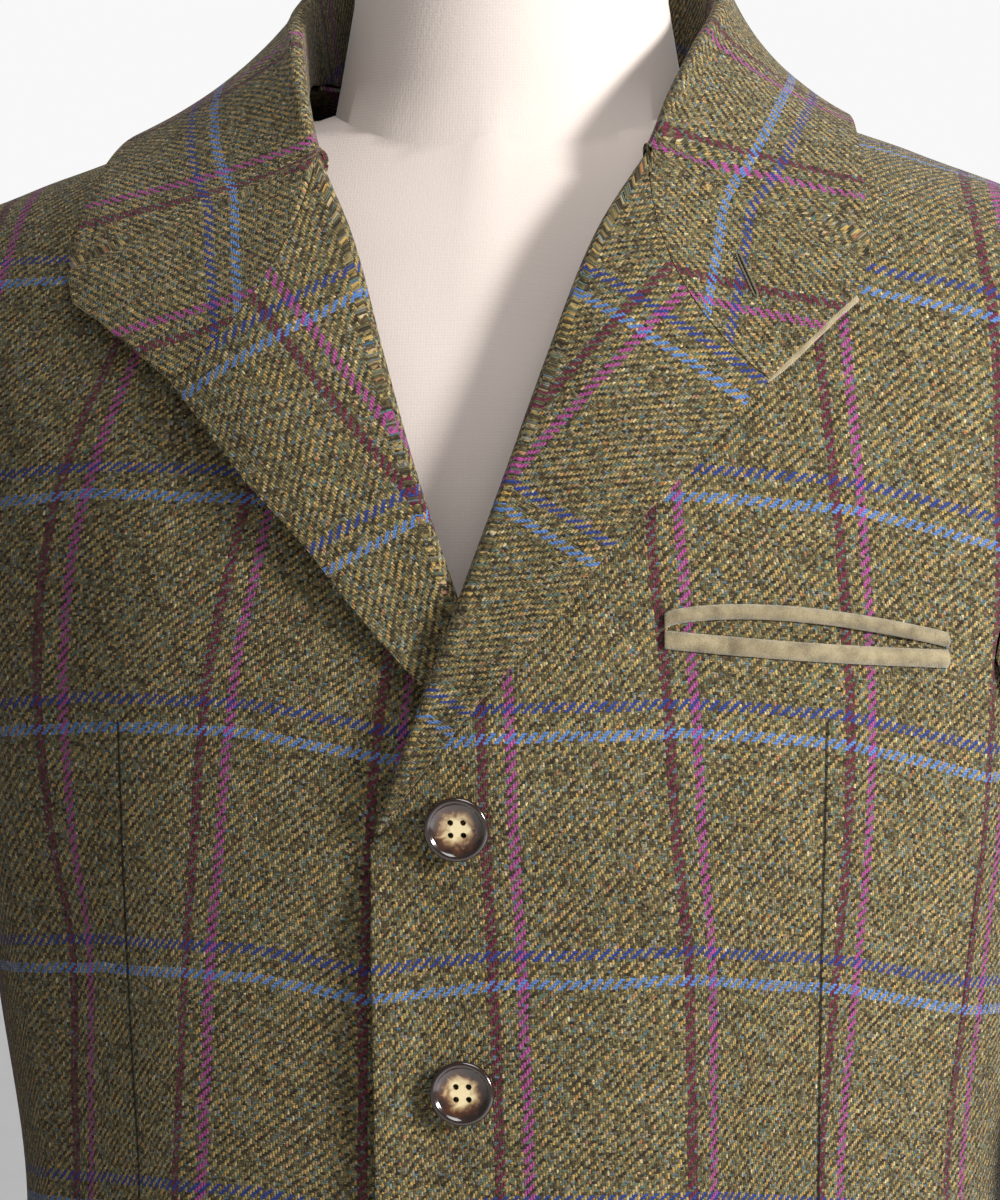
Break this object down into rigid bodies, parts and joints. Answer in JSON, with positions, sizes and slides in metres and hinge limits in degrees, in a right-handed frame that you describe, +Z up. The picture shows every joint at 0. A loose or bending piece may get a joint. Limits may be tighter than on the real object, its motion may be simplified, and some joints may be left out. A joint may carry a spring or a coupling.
{
  "type": "tweed hacking jacket on a limbless dress form",
  "caption": "Single-breasted checked tweed jacket with a notchless collar and lapels, worn by a limbless dress form on a pole stand.",
  "frame": {"origin": "on the floor, under the middle of the stand's base", "axes": "+X is the wearer's left, the jacket faces -Y, +Z is up"},
  "size_m": [0.672, 0.35, 1.61],
  "materials": {
    "tweed": "woven wool twill with a windowpane check, matte and slightly hairy",
    "moleskin": "brushed cotton, matte",
    "melton": "felted wool, matte",
    "horn": "polished, mottled brown",
    "form_cloth": "tight cream jersey, matte",
    "stand_wood": "turned, satin varnish"
  },
  "bodies": {
    "root": {"front_left": "tweed", "front_right": "tweed", "side_left": "tweed", "side_right": "tweed", "back_left": "tweed", "back_right": "tweed", "sleeve_top_left": "tweed", "sleeve_top_right": "tweed", "sleeve_under_left": "tweed", "sleeve_under_right": "tweed", "lapel_left": "tweed", "lapel_right": "tweed", "collar": "tweed", "undercollar": "melton", "welt_upper": "moleskin", "welt_lower": "moleskin", "flap_left": "tweed", "flap_right": "tweed", "button_1": "horn", "button_2": "horn", "button_3": "horn", "form_torso": "form_cloth", "stand_pole": "stand_wood", "stand_base": "stand_wood"}
  },
  "joints": []
}
